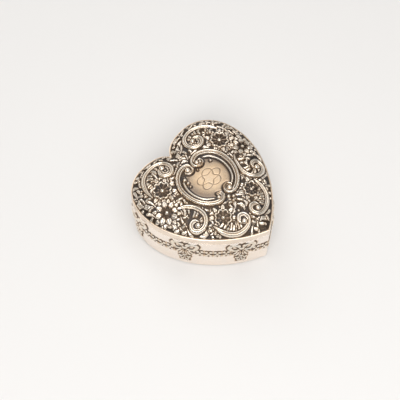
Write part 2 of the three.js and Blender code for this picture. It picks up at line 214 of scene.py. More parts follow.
def scroll(
    sheet, places, width, height, thin_start=0.35, thin_end=0.6, groove=0.55, rail=0.12, trench=0.45
):
    """A chased scroll: a band with a line sunk along it, a share of its half width off the middle."""
    line = smooth_line(places)
    part, aside, along = beside(sheet, line, width)
    swell = np.minimum(thin_start + along / 0.22, np.minimum(1.0, thin_end + (1 - along) / 0.3))
    half = width / 2 * np.minimum(swell, 1.0)
    across = aside / half
    body = np.clip(1 - np.abs(across) ** 3.2, 0, 1) ** 0.75
    sunk = groove * np.exp(-(((across - rail) / 0.3) ** 2))
    form = height * (0.35 + 0.65 * np.minimum(swell, 1.0)) * (body - sunk * body)
    sheet.lay(part, np.abs(aside) - half, form, trench)
    return line


def leaf(sheet, x, y, degrees, length, width, height, bend=0.15, vein=0.4, trench=0.35, lobes=0):
    """A leaf with a sunk vein, by its middle and the way its tip points. Lobes cut its rim."""
    turn = math.radians(degrees)
    way = np.array([math.cos(turn), math.sin(turn)])
    side = np.array([-way[1], way[0]])
    middle = np.array([x, y])
    places = [
        middle - way * length / 2 - side * bend * length * 0.5,
        middle + side * bend * length * 0.5,
        middle + way * length / 2 - side * bend * length * 0.5,
    ]
    part, aside, along = beside(sheet, smooth_line(places, 0.4), width)
    half = width / 2 * np.clip(np.sin(math.pi * np.clip(along, 0.02, 0.98)), 0, 1) ** 0.6
    wave = np.cos(2 * math.pi * lobes * along) if lobes else np.ones_like(along)
    half = half * (0.84 + 0.16 * wave)
    across = np.abs(aside) / np.maximum(half, 1e-6)
    body = np.clip(1 - across**2.6, 0, 1) ** 0.6
    rib = 0.3 * (0.5 - 0.5 * wave) * across if lobes else 0.0
    form = height * (0.6 + 0.4 * along) * body * (1 - vein * np.exp(-((across / 0.24) ** 2)) - rib)
    sheet.lay(part, np.abs(aside) - half, form, trench)


def comma(sheet, start, degrees, length, curl, width, height, trench=0.3):
    """A finger of acanthus: thin where it leaves the stem, round and proud at its curled tip."""
    turn = math.radians(degrees)
    places = []
    x, y = start
    steps = 6
    for _ in range(steps + 1):
        places.append([x, y])
        x += math.cos(turn) * length / steps
        y += math.sin(turn) * length / steps
        turn += math.radians(curl) / steps
    part, aside, along = beside(sheet, np.array(places), width)
    tip = np.where(along > 0.9, 1 - 2.4 * (along - 0.9), 1.0)
    half = width / 2 * (0.35 + 0.65 * along**0.8) * tip
    across = np.abs(aside) / half
    vein = 1 - 0.45 * np.exp(-((across / 0.24) ** 2)) * np.clip((0.85 - along) / 0.2, 0, 1)
    form = height * (0.5 + 0.5 * along) * np.clip(1 - across**2.4, 0, 1) ** 0.7 * vein
    sheet.lay(part, np.abs(aside) - half, form, trench)


def fingers(sheet, line, start, end, count, turn, length, curl, width, height):
    """A row of fingers that leave a scroll on one side, by turns large and small."""
    for k in range(count):
        share = start + (end - start) * k / max(count - 1, 1)
        place = int(share * (len(line) - 2))
        way = line[place + 1] - line[place]
        heading = math.degrees(math.atan2(way[1], way[0]))
        grown = length * (0.75 + 0.25 * math.sin(math.pi * (k + 1) / (count + 1)))
        small = k % 2
        comma(
            sheet,
            line[place],
            heading + turn * (1 + small),
            grown * (1 - 0.3 * small),
            curl * (1 - 0.3 * small),
            width * (1 - 0.15 * small),
            height * (1 - 0.12 * small),
        )


def sprig(sheet, x, y, degrees, length, width, height):
    """Three curled fingers of acanthus that fan out from one foot."""
    turn = math.radians(degrees)
    foot = (x - math.cos(turn) * length * 0.55, y - math.sin(turn) * length * 0.55)
    for lean, curl, share in ((44, 95, 0.8), (-44, -95, 0.8), (0, 35, 1.1)):
        comma(sheet, foot, degrees + lean, length * share, curl, width, height, 0.35)


def bead(sheet, x, y, radius, height, trench=0.3):
    part = sheet.window(x - radius * 2, x + radius * 2, y - radius * 2, y + radius * 2)
    far = np.hypot(sheet.x[part] - x, sheet.y[part] - y)
    form = height * np.sqrt(np.clip(1 - (far / radius) ** 2, 0, 1))
    sheet.lay(part, far - radius, form, trench)


# The knob of an open flower, as a share of the flower's radius.
KNOB = 0.22


def rosette(sheet, x, y, radius, petals, height, turned, cup, rays, leaflet):
    """An open flower: a knob in a deep cup with rays, and petals that roll over at the rim.

    Cup is its share of the radius, and leaflet the size of the leaves that some have for petals.
    """
    part = sheet.window(x - radius * 1.4, x + radius * 1.4, y - radius * 1.4, y + radius * 1.4)
    px, py = sheet.x[part] - x, sheet.y[part] - y
    far = np.hypot(px, py)
    angle = np.arctan2(py, px) - math.radians(turned)
    rim = radius * (0.93 + 0.07 * np.cos(petals * angle))
    share = far / rim
    from_seam = np.abs(np.cos(petals * angle / 2)) * far * 2 / petals
    rise = np.clip((share - cup + 0.18) / 0.26, 0, 1)
    rise = rise * rise * (3 - 2 * rise)
    over = np.clip(1 - np.clip((share - 0.8) / 0.2, 0, 1) ** 2.2, 0, 1) ** 0.6
    form = height * (0.1 + 0.9 * rise) * over
    form *= 1 - 0.6 * np.exp(-((from_seam / 0.36) ** 2)) * rise
    ray = np.exp(-((from_seam / 0.24) ** 2)) * (1 - rise) * np.clip((share - KNOB) * 5, 0, 1)
    form += height * rays * ray
    knob = height * 0.85 * np.sqrt(np.clip(1 - (far / (KNOB * radius)) ** 2, 0, 1))
    form = np.maximum(form, knob)
    sheet.lay(part, far - rim, form, 0.45)
    for k in range(petals if leaflet else 0):
        turn = math.radians(turned) + 2 * math.pi * k / petals
        out = radius * 0.82
        px, py = x + out * math.cos(turn), y + out * math.sin(turn)
        degrees = math.degrees(turn)
        leaf(sheet, px, py, degrees, leaflet * 2.1, leaflet * 2.2, height * 1.05, 0.0, 0.3, 0.35)


def spread(field, places):
    """A field softened over a number of net places."""
    reach = int(2.5 * places)
    weights = np.exp(-((np.arange(-reach, reach + 1) / places) ** 2) / 2)
    weights /= weights.sum()
    for axis in (0, 1):
        margin = [(reach, reach) if a == axis else (0, 0) for a in (0, 1)]
        padded = np.pad(field, margin, mode="edge")
        out = np.zeros_like(field)
        for k, w in enumerate(weights):
            taken = slice(k, k + field.shape[axis])
            out += w * (padded[taken, :] if axis == 0 else padded[:, taken])
        field = out
    return field


LID_PITCH = 0.225
RELIEF = 1.5
LID_NET = (-38.2, 38.3, -43.4, 33.8, LID_PITCH)
lid_sheet = Sheet(*LID_NET)

# Leaves and sprigs, each by its middle, the way its tip points in degrees, and its length.
LID_LEAVES = [
    (-4.2, 18.6, 120, 5.5), (-1.6, 20.6, 105, 5.5), (1.4, 20.4, 80, 5.5), (4.2, 18.6, 55, 5.5),
    (5.4, 22.8, 20, 4.0), (-7.6, 15.6, 200, 3.5), (7.9, 15.9, -20, 3.5), (-4.7, -19.0, 235, 4.5),
    (-2.3, -19.6, 255, 5.0), (0.6, -20.2, 280, 5.0), (3.2, -19.2, 300, 4.6),
    (-0.6, -24.2, 270, 3.8), (-0.6, -36.8, 270, 4.4), (-3.4, -37.0, 215, 4.0),
    (2.4, -37.2, 325, 4.0), (-6.8, -36.0, 200, 3.4), (6.4, -36.2, 345, 3.6),
    (-16.4, 7.0, 200, 5.0), (-18.6, 3.0, 150, 4.2), (-21.6, 4.4, 60, 4.2), (19.8, 4.6, 330, 4.6),
    (22.6, 2.8, 300, 4.2), (-19.8, 22.6, 70, 4.6), (-22.4, 20.6, 110, 4.4),
    (-16.6, 21.6, 60, 4.4), (20.6, 21.6, 110, 4.4), (23.6, 19.6, 70, 4.4), (18.4, 23.6, 130, 4.0),
    (-29.6, 13.0, 80, 4.6), (-32.2, 14.4, 100, 4.6), (-31.0, 18.6, 70, 4.6),
    (-28.6, 21.6, 60, 4.4), (29.6, 7.4, 70, 4.6), (31.6, 10.6, 90, 4.4), (30.6, 15.6, 100, 4.4),
    (32.6, 4.4, 80, 4.0), (-24.4, -4.4, 250, 4.6), (-27.6, -6.2, 235, 4.4),
    (-30.6, -5.6, 250, 4.2), (22.6, -6.6, 280, 4.6), (25.4, -6.8, 300, 4.4),
    (29.4, -6.6, 285, 4.4), (-10.8, -28.2, 200, 4.6), (-13.4, -26.6, 160, 4.0),
    (9.2, -28.2, 320, 4.6), (12.4, -26.8, 10, 4.0), (-21.4, -20.4, 150, 4.0),
    (-24.4, -19.0, 170, 4.0), (-22.8, -23.0, 200, 3.6), (19.6, -22.4, 30, 4.0),
    (22.2, -21.0, 10, 3.6), (19.8, -26.2, 320, 3.6), (-14.2, 15.0, 30, 4.0),
    (14.8, 13.6, 150, 4.0), (-17.4, -18.6, 60, 3.6), (15.0, -15.6, 110, 3.6),
    (-6.4, -22.6, 180, 3.2), (5.4, -23.6, 0, 3.2), (-14.6, -14.6, 220, 3.6),
    (-9.0, -17.6, 250, 3.2), (7.0, -17.4, 300, 3.2), (-8.0, 29.8, 175, 3.8),
    (-13.6, 30.6, 180, 3.8), (-19.4, 29.8, 195, 3.8), (-25.0, 26.4, 215, 3.8),
    (8.4, 29.6, 5, 3.8), (14.4, 30.4, 0, 3.8), (20.4, 29.2, 345, 3.8), (26.0, 25.4, 325, 3.8),
    (30.6, 20.6, 300, 3.8), (-33.6, -0.8, 265, 3.8), (-32.2, -4.6, 240, 3.8),
    (-31.0, -9.0, 250, 3.8), (-29.4, -12.6, 245, 3.6), (-14.6, -6.0, 250, 3.4),
    (-19.6, 8.0, 100, 3.4), (-34.0, 9.4, 90, 3.8), (-33.4, 18.0, 75, 3.8), (-30.6, 23.2, 50, 3.8),
    (-11.8, 13.8, 320, 3.2), (-13.8, -16.2, 300, 3.2), (-21.0, -22.6, 330, 3.4),
    (18.2, 15.6, 200, 3.2), (17.6, 8.4, 250, 3.2), (19.2, -0.4, 250, 3.2), (24.6, 3.6, 20, 3.2),
    (30.2, -11.4, 260, 3.6), (28.8, -16.6, 240, 3.4), (25.4, -20.6, 235, 3.4),
    (13.2, -12.6, 240, 3.2), (-2.2, -31.4, 270, 3.2), (-24.6, 9.6, 230, 3.0),
    (-25.2, 17.2, 150, 3.2), (26.6, 14.4, 40, 3.2), (33.4, 0.2, 80, 3.4), (34.0, 8.2, 90, 3.6),
]
LEAF_WIDTH = 3.0
SPRIG_WIDTH = 1.75

# Open flowers: middle, radius, petals, turn, share of the cup, height of its rays, and size of
# the leaves that some have for petals.
ROSETTES = [
    (-21.0, 13.4, 5.6, 9, 10, 0.84, 0.34, 0.0), (22.8, 10.8, 5.6, 9, 20, 0.84, 0.34, 0.0),
    (-28.9, 3.2, 5.3, 8, 12, 0.8, 0.0, 1.6), (28.4, -0.9, 4.6, 7, 0, 0.8, 0.0, 1.5),
    (-12.2, -21.2, 5.0, 8, 20, 0.84, 0.14, 0.0), (10.8, -21.6, 5.0, 8, 40, 0.84, 0.14, 0.0),
    (-10.7, 20.4, 2.6, 3, 30, 0.62, 0.0, 0.0), (13.0, 19.6, 2.5, 3, 90, 0.62, 0.0, 0.0),
]

# Scrolls, from the thin end of the stem to the heart of the curl.
LOBE_LEFT = [
    (-27.2, 15.0), (-26.4, 20.0), (-24.0, 24.2), (-20.4, 26.9), (-16.0, 27.9), (-11.6, 27.5),
    (-8.2, 25.4), (-6.8, 21.8), (-7.6, 18.4), (-10.4, 16.8), (-13.4, 18.0), (-14.2, 20.8),
    (-12.8, 23.0), (-10.6, 23.0),
]
LOBE_RIGHT = [
    (28.2, 17.0), (26.2, 21.2), (23.0, 24.6), (19.0, 26.9), (14.6, 27.3), (10.9, 25.9),
    (8.8, 22.8), (9.0, 19.4), (11.2, 17.0), (14.2, 16.5), (16.6, 18.0), (16.8, 20.6),
    (14.8, 22.2), (12.8, 21.4),
]
SIDE_LEFT = [
    (-23.6, 0.2), (-20.3, -2.3), (-18.0, -5.5), (-17.0, -9.5), (-17.4, -13.2), (-19.8, -16.0),
    (-23.3, -16.9), (-26.2, -15.4), (-27.2, -12.8), (-25.7, -10.8), (-23.4, -11.0),
    (-22.6, -12.8), (-23.8, -13.9),
]
SIDE_RIGHT = [
    (20.6, -1.5), (17.9, -5.0), (16.1, -9.3), (15.8, -13.3), (17.2, -16.8), (20.4, -18.9),
    (24.0, -18.6), (26.7, -16.5), (27.2, -13.6), (25.6, -11.5), (23.2, -11.6), (22.4, -13.6),
    (23.8, -14.8),
]
BOTTOM_LEFT = [
    (-18.8, -20.5), (-18.2, -25.0), (-16.0, -29.3), (-12.5, -32.4), (-8.3, -33.5), (-4.8, -32.6),
    (-3.2, -30.0), (-3.8, -27.6), (-6.0, -26.8), (-7.8, -28.2), (-7.6, -30.0), (-6.2, -30.6),
]
BOTTOM_RIGHT = [
    (16.3, -19.0), (16.2, -24.0), (14.8, -28.4), (11.6, -31.8), (7.3, -33.7), (3.2, -33.8),
    (1.0, -31.8), (1.0, -29.2), (2.7, -27.6), (4.9, -28.0), (5.7, -29.8), (4.6, -31.2),
]
SCROLL_WIDTH = 2.5

# The frame of the panel: two large C-scrolls, then a thin line inside them.
FRAME_RIGHT = [
    (4.9, 11.4), (6.4, 10.6), (6.2, 8.8), (4.2, 7.9), (2.0, 9.3), (1.9, 12.0), (4.4, 13.8),
    (8.2, 13.8), (12.2, 11.4), (15.3, 7.1), (16.4, 1.5), (15.5, -4.5), (12.7, -9.7), (9.2, -13.1),
    (5.2, -14.9), (2.0, -14.4), (0.9, -12.2), (2.1, -10.2), (4.4, -10.0), (5.5, -11.6),
]
FRAME_LEFT = [
    (-3.6, 11.8), (-5.0, 10.7), (-4.2, 9.0), (-2.0, 8.8), (-0.7, 10.8), (-1.5, 13.2),
    (-4.4, 14.1), (-8.0, 13.2), (-11.6, 10.7), (-14.3, 6.5), (-15.2, 1.0), (-14.5, -4.5),
    (-12.2, -9.3), (-8.9, -12.7), (-5.4, -14.2), (-2.8, -13.5), (-2.0, -11.4), (-3.6, -10.0),
]
FRAME_WIDTH = 2.8
LINE_LEFT = [(-7.6, 9.6), (-10.6, 7.0), (-12.3, 2.4), (-12.2, -2.8), (-10.2, -7.6), (-6.8, -10.6)]
LINE_RIGHT = [(8.6, 10.6), (11.6, 7.6), (13.3, 1.8), (12.5, -4.4), (10.0, -9.0), (6.6, -11.4)]
LINE_WIDTH = 1.3

for k, (lx, ly, degrees, length) in enumerate(LID_LEAVES):
    # Every third is a single leaf with a lobed rim.
    if k % 3 == 2:
        leaf(lid_sheet, lx, ly, degrees, length * 1.3, LEAF_WIDTH, RELIEF * 0.95, 0.25, 0.4, 0.4, 3)
    else:
        sprig(lid_sheet, lx, ly, degrees, length * 1.1, SPRIG_WIDTH, RELIEF * 0.95)
for rx, ry, radius, petals, turned, cup, rays, leaflet in ROSETTES:
    for k in range(petals):
        degrees = turned + 360 * (k + 0.5) / petals
        out = radius * 1.08
        tip_x = rx + out * math.cos(math.radians(degrees))
        tip_y = ry + out * math.sin(math.radians(degrees))
        leaf(lid_sheet, tip_x, tip_y, degrees, 3.6, 2.6, RELIEF * 0.8, 0.0, 0.4, 0.3, 0)
    rosette(lid_sheet, rx, ry, radius, petals, RELIEF, turned, cup, rays, leaflet)

# Each scroll has a row of fingers inside its sweep, a shorter row outside it, and a bead in its
# curl. The number says on which side of its line the inside lies.
SCROLLS = [
    (LOBE_LEFT, -1), (LOBE_RIGHT, 1), (SIDE_LEFT, -1), (SIDE_RIGHT, 1), (BOTTOM_LEFT, 1),
    (BOTTOM_RIGHT, -1),
]
for places, side in SCROLLS:
    line = smooth_line(places)
    fingers(lid_sheet, line, 0.02, 0.52, 7, side * 14, 7.2, side * 120, 1.9, RELIEF)
    fingers(lid_sheet, line, 0.04, 0.34, 4, -side * 34, 3.2, -side * 60, 1.8, RELIEF * 0.9)
    scroll(lid_sheet, places, SCROLL_WIDTH, RELIEF, groove=0.5, rail=0.3 * side)
    end = line[-1]
    bead(lid_sheet, end[0], end[1], 1.5, RELIEF)

# The panel inside the frame is left plain, a little above the ground.
PANEL_X = 0.4
PANEL_Y = -1.0
PANEL_WIDE = 13.8
PANEL_HIGH = 12.6
PANEL_RISE = 0.35
across_panel = np.hypot(
    (lid_sheet.x - PANEL_X) / PANEL_WIDE, (lid_sheet.y - PANEL_Y) / PANEL_HIGH
)
panel = np.clip((1.0 - across_panel) / 0.08, 0, 1)
lid_sheet.relief = lid_sheet.relief * (1 - panel) + PANEL_RISE * panel
for places in (LINE_LEFT, LINE_RIGHT):
    scroll(lid_sheet, places, LINE_WIDTH, RELIEF * 0.62, groove=0.0, trench=0.7)
for places, inner in ((FRAME_LEFT, 1), (FRAME_RIGHT, -1)):
    scroll(lid_sheet, places, FRAME_WIDTH, RELIEF * 1.2, groove=0.62, rail=0.28 * inner, trench=0.6)
FRAME_BEADS = [
    (3.9, 10.7, 1.4), (5.2, 9.5, 0.9), (-3.0, 11.2, 1.5), (-8.7, 8.2, 1.1), (-8.9, 5.6, 0.9),
    (3.5, -12.4, 1.5), (-4.7, -11.9, 1.1), (9.4, 5.8, 0.8), (0.5, 7.2, 0.7), (-1.0, -15.6, 1.1),
    (0.8, -17.4, 1.0), (-9.6, 3.2, 0.7),
]
for bx, by, radius in FRAME_BEADS:
    bead(lid_sheet, bx, by, radius, RELIEF)

# Small leaves and buds fill what ground is left.
chance = random.Random(7)
FILL_PITCH = 1.9
FILL_ROWS = 46
FILL_COLUMNS = 42
FILL_DEPTH = 1.35
for row in range(FILL_ROWS):
    for col in range(FILL_COLUMNS):
        fx = -38 + (col + 0.5 * (row % 2)) * FILL_PITCH + chance.uniform(-0.3, 0.3)
        fy = -42 + row * FILL_PITCH * 0.9 + chance.uniform(-0.3, 0.3)
        turn = chance.uniform(0, 360)
        chosen = chance.random()
        part = lid_sheet.window(fx - 0.6, fx + 0.6, fy - 0.6, fy + 0.6)
        held = lid_sheet.relief[part]
        if not held.size or held.max() > 0.12:
            continue
        depth = inset_of(np.array([fx]), np.array([fy]))[0]
        from_panel = np.hypot(fx - PANEL_X, fy - PANEL_Y)
        open_border = fy < -10 and depth < 4.2
        if depth < FILL_DEPTH or from_panel < 15 or chosen > 0.95 or open_border:
            continue
        if chosen < 0.7:
            leaf(lid_sheet, fx, fy, turn, 3.6, 2.4, RELIEF * 0.85, 0.25, 0.35, 0.3, 2)
        else:
            bead(lid_sheet, fx, fy, 0.8, RELIEF * 0.7, 0.25)

# A knot of five interlaced loops, engraved lightly on the panel as plain ornament.
FLOURISH_WIDE = 6.8
FLOURISH_HIGH = 5.0
FLOURISH_SHARE = 0.8
FLOURISH_DEPTH = 0.1
FLOURISH_WIDTH = 0.22
turns = np.linspace(0, 4 * math.pi, 200)
swing = 1 + 0.42 * np.cos(2.5 * turns)
flourish_x = PANEL_X + 1.0 + FLOURISH_WIDE * swing * np.cos(turns)
flourish_y = PANEL_Y + FLOURISH_HIGH * swing * np.sin(turns)
flourish = np.stack([flourish_x, flourish_y], axis=1) * FLOURISH_SHARE
part, aside, along = beside(lid_sheet, flourish, 1.0)
engraved = np.zeros_like(lid_sheet.relief)
engraved[part] = np.exp(-((aside / FLOURISH_WIDTH) ** 2))
lid_sheet.relief -= FLOURISH_DEPTH * engraved

# The low ground is matted with a small round punch.
MATTING = 0.95
PUNCH_DEPTH = 0.1
punch = np.sin(2 * math.pi * (lid_sheet.x + 0.4 * np.sin(lid_sheet.y)) / MATTING)
punch *= np.sin(2 * math.pi * (lid_sheet.y + 0.4 * np.sin(1.3 * lid_sheet.x)) / MATTING)
open_ground = np.clip(1 - lid_sheet.relief / 0.25, 0, 1) * (1 - panel)
lid_sheet.relief += PUNCH_DEPTH * punch * open_ground

# The ornament dies out at the shoulder, which is plain and bright.
lid_inset = inset_of(lid_sheet.x, lid_sheet.y)
BORDER = 0.8
fade = np.clip((lid_inset - BORDER) / 0.6, 0, 1)
lid_sheet.relief *= fade

# Oxide stays in what the polishing cloth doesn't reach: low ground, and hollows beside high forms.
low_ground = 1 - np.clip((lid_sheet.relief - 0.1) / 0.8, 0, 1)
hollow = np.clip((spread(lid_sheet.relief, 2.4) - lid_sheet.relief) * 2.4, 0, 1)
crest = np.clip((lid_sheet.relief - spread(lid_sheet.relief, 3.0)) * 2.0, 0, 1)
tarnish_and_painted_light = np.clip(0.85 * low_ground + 0.9 * hollow - 0.6 * crest, 0, 1)
inner_panel = np.clip((0.86 - across_panel) / 0.1, 0, 1)
CUP_OXIDE = 0.62
for rx, ry, radius, _, _, cup, _, _ in ROSETTES:
    far = np.hypot(lid_sheet.x - rx, lid_sheet.y - ry) / radius
    in_cup = np.clip((cup - 0.1 - far) / 0.08, 0, 1) * np.clip((far - KNOB) / 0.06, 0, 1)
    tarnish_and_painted_light = np.maximum(tarnish_and_painted_light, CUP_OXIDE * in_cup)
# The panel has a yellow film, which is darker towards its rim; a painted reflection also darkens it
# towards its lower left.
PANEL_FILM = 0.29
FILM_AND_REFLECTION_CHANGE = 0.14
# How far towards the panel's lower left, where the painted reflection darkens it.
toward_reflection = PANEL_X - lid_sheet.x + 0.4 * (PANEL_Y - lid_sheet.y)
film_and_reflection = PANEL_FILM + FILM_AND_REFLECTION_CHANGE * np.clip((across_panel - 0.4) / 0.35, 0, 1)
# Painted reflection: the panel grows darker towards its lower left.
film_and_reflection += FILM_AND_REFLECTION_CHANGE * np.clip((toward_reflection - 3) / 8, 0, 1)
tarnish_and_painted_light = tarnish_and_painted_light * (1 - inner_panel) + (film_and_reflection + 0.2 * engraved + 0.8 * hollow) * inner_panel
LID_PLAIN = 0.2
chased = np.clip((lid_inset - BORDER) / 0.3, 0, 1)
tarnish_and_painted_light = tarnish_and_painted_light * chased + LID_PLAIN * (1 - chased)
# Besides the oxide, the lid's tarnish holds the painted reflection on the panel.
lid_tarnish_and_reflection = Sheet(*LID_NET)
lid_tarnish_and_reflection.relief = tarnish_and_painted_light

# The mesh: a fine skin on the dome, the shoulder and rim as rings, and the hollow underside.
RING_HALF = 440
WALL = 0.8
SHEET = 0.9
SEAM_GAP = 0.06
SEAM = 27.0
LID_FOOT = SEAM + SEAM_GAP / 2
outline_ring = heart_ring(0.0, 720)
outline_angle = np.arctan2(outline_ring[:, 1] + 1.0, outline_ring[:, 0])
by_angle = np.argsort(outline_angle)
outline_far = np.hypot(outline_ring[:, 0], outline_ring[:, 1] + 1.0)


def inside_heart(x, y):
    far = np.interp(
        np.arctan2(y + 1.0, x), outline_angle[by_angle], outline_far[by_angle], period=2 * math.pi
    )
    return np.hypot(x, y + 1.0) < far


def skin(rim, x, y):
    """Triangles over the places inside a closed rim, and which of their corners lie on the rim."""
    flat = [Vector(p) for p in rim] + [Vector(p) for p in zip(x, y)]
    count = len(rim)
    loop = [(i, (i + 1) % count) for i in range(count)]
    made = geometry.delaunay_2d_cdt(flat, loop, [], 1, 1e-7)
    places = np.array([[p.x, p.y] for p in made[0]])
    on_rim = np.array([any(i < count for i in given) for given in made[3]])
    return places, [tuple(face) for face in made[2]], on_rim


def tidy_rim(ring):
    """The same ring without places that fall together."""
    kept = [ring[0]]
    for p in ring[1:]:
        if np.hypot(*(p - kept[-1])) > 1e-3:
            kept.append(p)
    if np.hypot(*(kept[0] - kept[-1])) < 1e-3:
        kept.pop()
    return np.array(kept)


def finished(name, vertices, faces, values):
    """A named object at the origin from places in millimetres, seams closed and faces outwards."""
    work = bmesh.new()
    layer = work.verts.layers.float.new("tarnish_and_painted_light")
    made = [work.verts.new((x * MM, (y + FORWARD) * MM, z * MM)) for x, y, z in vertices]
    for vertex, value in zip(made, values):
        vertex[layer] = value
    for face in faces:
        if len(set(face)) > 2:
            work.faces.new([made[i] for i in face])
    bmesh.ops.remove_doubles(work, verts=work.verts, dist=2e-6)
    bmesh.ops.dissolve_degenerate(work, edges=work.edges, dist=1e-7)
    bmesh.ops.recalc_face_normals(work, faces=work.faces)
    bmesh.ops.triangulate(work, faces=[f for f in work.faces if len(f.verts) > 4])
    mesh = bpy.data.meshes.new(name)
    work.to_mesh(mesh)
    work.free()
    mesh.shade_smooth()
    piece = bpy.data.objects.new(name, mesh)
    bpy.context.scene.collection.objects.link(piece)
    return piece


# The lid's section from the underside of the dome round the foot of its wall to its edge: how
# far inside the outline, and how high.
UNDER_INSET = 2.4
UNDER_TOP = SHOULDER_TOP - 0.7
INNER_BEND = 29.8
EDGE_ROUND = 0.4
EDGE_STEPS = 6
SOFT = 0.03
lid_profile = [(UNDER_INSET, UNDER_TOP), (WALL, INNER_BEND), (WALL, LID_FOOT), (SOFT, LID_FOOT)]
lid_profile += [(0.0, LID_FOOT + SOFT), (0.0, LID_FOOT + 2 * SOFT)]
lid_profile.append((0.0, SHOULDER_TOP - EDGE_ROUND - SOFT))
for k in range(EDGE_STEPS + 1):
    turn = math.pi / 2 * k / EDGE_STEPS
    edge_inset = EDGE_ROUND * (1 - math.cos(turn))
    lid_profile.append((edge_inset, SHOULDER_TOP - EDGE_ROUND * (1 - math.sin(turn))))

lid_vertices = []
lid_values = []
lid_faces = []
for inset, z in lid_profile:
    ring = heart_ring(inset, RING_HALF)
    lid_vertices += [(x, y, z) for x, y in ring]
    lid_values += [LID_PLAIN] * len(ring)
RING_SIZE = 2 * RING_HALF


def between_rings(count):
    """The faces that join a number of rings, each to the next."""
    faces = []
    for start in range(0, (count - 1) * RING_SIZE, RING_SIZE):
        for i in range(RING_SIZE):
            k = (i + 1) % RING_SIZE
            faces.append((start + i, start + k, start + RING_SIZE + k, start + RING_SIZE + i))
    return faces


lid_faces += between_rings(len(lid_profile))


def add_skin(rim_inset, rim_height, x, y, height_at, value_at):
    """Adds a skin inside the ring at that inset. Its rim meets the ring and is merged with it."""
    rim = tidy_rim(heart_ring(rim_inset, RING_HALF))
    places, faces, on_rim = skin(rim, x, y)
    first = len(lid_vertices)
    z = np.where(on_rim, rim_height, height_at(places[:, 0], places[:, 1]))
    values = value_at(places[:, 0], places[:, 1])
    lid_vertices.extend(zip(places[:, 0], places[:, 1], z))
    lid_values.extend(values)
    lid_faces.extend(tuple(first + i for i in face) for face in faces)


SKIN_INSET = 0.84
inside = inside_heart(lid_sheet.x, lid_sheet.y) & (lid_inset > SKIN_INSET)


def lid_top(x, y):
    return dome_height(x, y) + lid_sheet.at(x, y)


add_skin(EDGE_ROUND, SHOULDER_TOP, lid_sheet.x[inside], lid_sheet.y[inside], lid_top, lid_tarnish_and_reflection.at)

# The underside follows the chasing softly, as a raised sheet does.
UNDER_PITCH = 1.0
UNDER_TARNISH = 0.25
softened = Sheet(*LID_NET)
softened.relief = spread(lid_sheet.relief, 4.5)
under_x, under_y = np.meshgrid(np.arange(-38, 38, UNDER_PITCH), np.arange(-43, 34, UNDER_PITCH))
under_inset = inset_of(under_x, under_y)
under = inside_heart(under_x, under_y) & (under_inset > UNDER_INSET + 0.5)


def lid_under(x, y):
    depth = inset_of(x, y)
    near = np.clip((depth - UNDER_INSET - 0.1) / 0.8, 0, 1)
    return UNDER_TOP + (dome_height(x, y) - SHEET + 0.6 * softened.at(x, y) - UNDER_TOP) * near


def under_tarnish(x, y):
    return np.full_like(x, UNDER_TARNISH)


add_skin(UNDER_INSET, UNDER_TOP, under_x[under], under_y[under], lid_under, under_tarnish)
lid_cover = finished("lid_cover", lid_vertices, lid_faces, lid_values)


def linear(hex_colour):
    """A colour given as sRGB hex, turned to linear."""
    out = []
    for k in (0, 2, 4):
        c = int(hex_colour[k : k + 2], 16) / 255
        out.append(c / 12.92 if c <= 0.04045 else ((c + 0.055) / 1.055) ** 2.4)
    return (*out, 1.0)


def add_node(tree, kind, inputs=None, **settings):
    """Adds a node, with its settings, and values or links for its inputs."""
    made = tree.nodes.new(kind)
    for name, value in settings.items():
        setattr(made, name, value)
    for name, value in (inputs or {}).items():
        socket = made.inputs[name]
        if isinstance(value, bpy.types.NodeSocket):
            tree.links.new(value, socket)
        else:
            socket.default_value = value
    return made


def tone_ramp(tree, amount, tones):
    """A colour ramp from places and sRGB colours."""
    made = add_node(tree, "ShaderNodeValToRGB", {"Fac": amount})
    stops = made.color_ramp.elements
    stops[0].position, stops[-1].position = tones[0][0], tones[-1][0]
    for position, _ in tones[1:-1]:
        stops.new(position)
    for stop, (_, colour) in zip(stops, tones):
        stop.color = linear(colour)
    return made.outputs["Color"]


OXIDE_ROUGHNESS = 0.42
GRAIN_DEPTH = 0.04
# From rubbed metal, through the cream and yellow films of old silver, to the dark oxide, by the
# amount of tarnish.
BROWN_OXIDE = [(0.0, "ECE0CE"), (0.14, "FFF4E9"), (0.3, "E2C6A4"), (0.55, "968270"), (0.9, "56493D")]
SLATE_OXIDE = [(0.0, "EAE2D6"), (0.14, "FEF4EB"), (0.3, "DEC6A8"), (0.55, "908072"), (0.9, "4B4644")]


